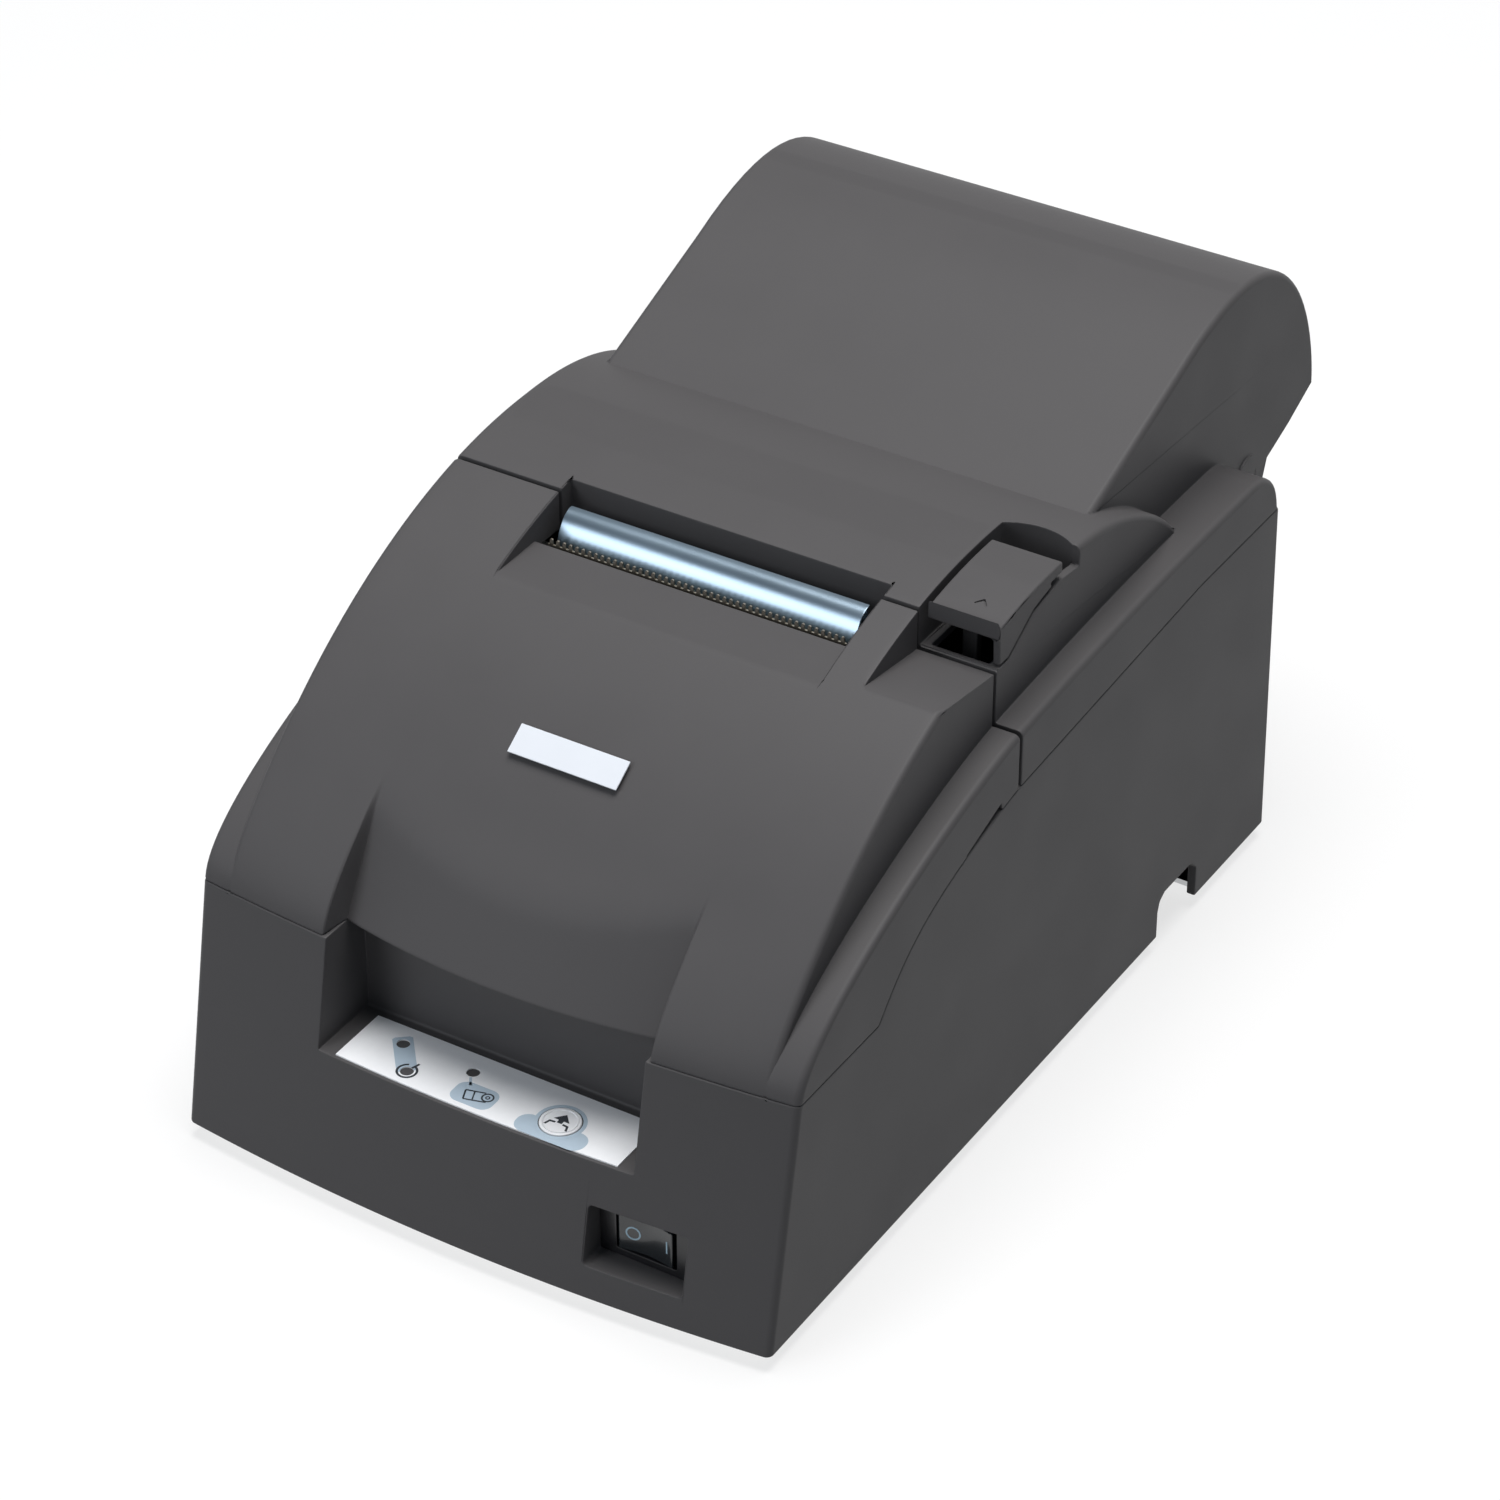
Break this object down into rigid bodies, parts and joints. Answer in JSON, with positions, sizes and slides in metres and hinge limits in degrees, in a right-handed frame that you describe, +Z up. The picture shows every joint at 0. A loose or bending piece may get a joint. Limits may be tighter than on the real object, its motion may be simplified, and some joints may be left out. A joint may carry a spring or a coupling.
{
  "type": "receipt printer",
  "caption": "Compact dot matrix receipt printer with a hinged ribbon cover in front, a hinged roll cover with a raised take-up hump behind, and a control pocket.",
  "frame": {"origin": "centre of the object's footprint, on the surface that its feet stand on", "axes": "+Z up, -Y towards the front with the control pocket, +X to the right seen from the front"},
  "size_m": [0.16, 0.286, 0.1563],
  "materials": {
    "case_plastic": "fine spark-eroded texture",
    "zinc_steel": "zinc plated",
    "bright_steel": "ground",
    "foot_rubber": "matt",
    "label_white": "printed film",
    "led_lens": "moulded lens",
    "board_green": "solder mask",
    "button_grey": "printed film",
    "switch_black": "polished",
    "badge_white": "lacquered",
    "black_plastic": "moulded",
    "head_aluminium": "black anodised",
    "motor_steel": "plated can",
    "gear_brass": "turned",
    "belt_rubber": "moulded",
    "ribbon_fabric": "inked nylon",
    "roller_rubber": "ground",
    "gear_plastic": "acetal",
    "tear_steel": "stamped, serrated",
    "guide_plating": "satin plated",
    "component_black": "moulded"
  },
  "bodies": {
    "case": {"lower_case": "case_plastic", "base_plate": "zinc_steel", "rubber_feet": "foot_rubber", "case_screws": "zinc_steel", "control_label": "label_white", "status_leds": "led_lens", "panel_board": "board_green", "button_dome": "foot_rubber", "switch_body": "switch_black", "front_hinge_pins": "bright_steel", "rear_hinge_pins": "bright_steel", "latch_pin": "bright_steel", "rear_housing": "case_plastic", "left_frame": "zinc_steel", "right_frame": "zinc_steel", "mechanism_bed": "zinc_steel", "bed_posts": "zinc_steel", "carriage_shaft": "bright_steel", "carriage_rail": "zinc_steel", "carriage_motor": "motor_steel", "idle_pulley_pin": "bright_steel", "toothed_belt": "belt_rubber", "platen_bar": "bright_steel", "ribbon_cassette": "black_plastic", "ink_ribbon": "ribbon_fabric", "idler_stud": "bright_steel", "feed_motor": "motor_steel", "cutter_frame": "zinc_steel", "tear_bar": "tear_steel", "paper_guide": "guide_plating", "roll_bucket": "black_plastic", "takeup_brackets": "zinc_steel", "takeup_motor": "motor_steel", "main_board": "board_green", "board_components": "component_black", "connector_plate": "zinc_steel", "rear_connectors": "component_black"},
    "ribbon_cover": {"front_cover": "case_plastic", "badge_plate": "badge_white"},
    "roll_cover": {"rear_cover": "case_plastic", "lever_pin": "bright_steel", "lever_spring": "bright_steel"},
    "release_lever": {"release_lever": "case_plastic"},
    "feed_button": {"feed_button": "button_grey"},
    "power_rocker": {"power_rocker": "switch_black"},
    "carriage": {"print_carriage": "black_plastic", "print_head": "head_aluminium"},
    "drive_pulley": {"drive_pulley": "gear_brass"},
    "idle_pulley": {"idle_pulley": "gear_brass"},
    "ribbon_knob": {"ribbon_knob": "black_plastic"},
    "feed_roller": {"feed_roller": "roller_rubber", "feed_gear": "gear_plastic"},
    "idler_gear": {"idler_gear": "gear_plastic"},
    "motor_pinion": {"motor_pinion": "gear_brass"},
    "pinch_roller": {"pinch_roller": "roller_rubber"},
    "cutter_blade": {"cutter_blade": "bright_steel"},
    "takeup_spool": {"takeup_spool": "black_plastic", "takeup_gear": "gear_plastic"},
    "takeup_pinion": {"takeup_pinion": "gear_brass"}
  },
  "joints": [
    {"name": "ribbon_cover_hinge", "type": "hinge", "parent": "case", "child": "ribbon_cover", "pos_m": [0, -0.1248, 0.044], "axis": [1, 0, 0], "range_deg": [0, 65]},
    {"name": "roll_cover_hinge", "type": "hinge", "parent": "case", "child": "roll_cover", "pos_m": [0, 0.107, 0.1], "axis": [-1, 0, 0], "range_deg": [0, 65]},
    {"name": "release_lever_hinge", "type": "hinge", "parent": "roll_cover", "child": "release_lever", "pos_m": [0.064, -0.002, 0.1283], "axis": [-1, 0, 0], "range_deg": [0, 15], "stiffness_Nm_per_rad": 0.05, "springref_deg": -11.46},
    {"name": "feed_button_press", "type": "slide", "parent": "case", "child": "feed_button", "axis": [0, 0, -1], "range_m": [0, 0.0012], "stiffness_N_per_m": 600, "springref_m": -0.0006},
    {"name": "power_rocker_tilt", "type": "hinge", "parent": "case", "child": "power_rocker", "pos_m": [0.0449, -0.12794, 0.0198], "axis": [0, 0, 1], "range_deg": [-8, 8]},
    {"name": "carriage_slide", "type": "slide", "parent": "case", "child": "carriage", "axis": [1, 0, 0], "range_m": [-0.031, 0.031]},
    {"name": "drive_pulley_spin", "type": "hinge", "parent": "case", "child": "drive_pulley", "pos_m": [-0.046, -0.088, 0.048], "axis": [0, 0, 1], "range_deg": [-345, 345]},
    {"name": "idle_pulley_spin", "type": "hinge", "parent": "case", "child": "idle_pulley", "pos_m": [0.046, -0.088, 0.048], "axis": [0, 0, 1], "range_deg": [-345, 345]},
    {"name": "ribbon_knob_spin", "type": "hinge", "parent": "case", "child": "ribbon_knob", "pos_m": [-0.042, -0.084, 0.094], "axis": [0, 0, 1], "continuous": true},
    {"name": "feed_roller_spin", "type": "hinge", "parent": "case", "child": "feed_roller", "pos_m": [0, -0.0298, 0.066], "axis": [1, 0, 0], "continuous": true},
    {"name": "idler_gear_spin", "type": "hinge", "parent": "case", "child": "idler_gear", "pos_m": [0.066, -0.03991, 0.04584], "axis": [1, 0, 0], "continuous": true},
    {"name": "motor_pinion_spin", "type": "hinge", "parent": "case", "child": "motor_pinion", "pos_m": [0.066, -0.038, 0.029], "axis": [1, 0, 0], "continuous": true},
    {"name": "pinch_roller_spin", "type": "hinge", "parent": "case", "child": "pinch_roller", "pos_m": [0, -0.0402, 0.066], "axis": [1, 0, 0], "continuous": true},
    {"name": "cutter_blade_slide", "type": "slide", "parent": "case", "child": "cutter_blade", "axis": [0, 1, 0], "range_m": [0, 0.0055]},
    {"name": "takeup_spool_spin", "type": "hinge", "parent": "case", "child": "takeup_spool", "pos_m": [0, 0.105, 0.12599], "axis": [1, 0, 0], "continuous": true},
    {"name": "takeup_pinion_spin", "type": "hinge", "parent": "case", "child": "takeup_pinion", "pos_m": [0.056, 0.11622, 0.10193], "axis": [1, 0, 0], "continuous": true}
  ],
  "couplings": [
    {"joint": "drive_pulley_spin", "follows": "carriage_slide", "rad_per_m": -190.48},
    {"joint": "idle_pulley_spin", "follows": "carriage_slide", "rad_per_m": -190.48},
    {"joint": "idler_gear_spin", "follows": "feed_roller_spin", "ratio": -0.86667},
    {"joint": "motor_pinion_spin", "follows": "feed_roller_spin", "ratio": 2.1667},
    {"joint": "pinch_roller_spin", "follows": "feed_roller_spin", "ratio": -1.5},
    {"joint": "takeup_pinion_spin", "follows": "takeup_spool_spin", "ratio": -4.5}
  ]
}
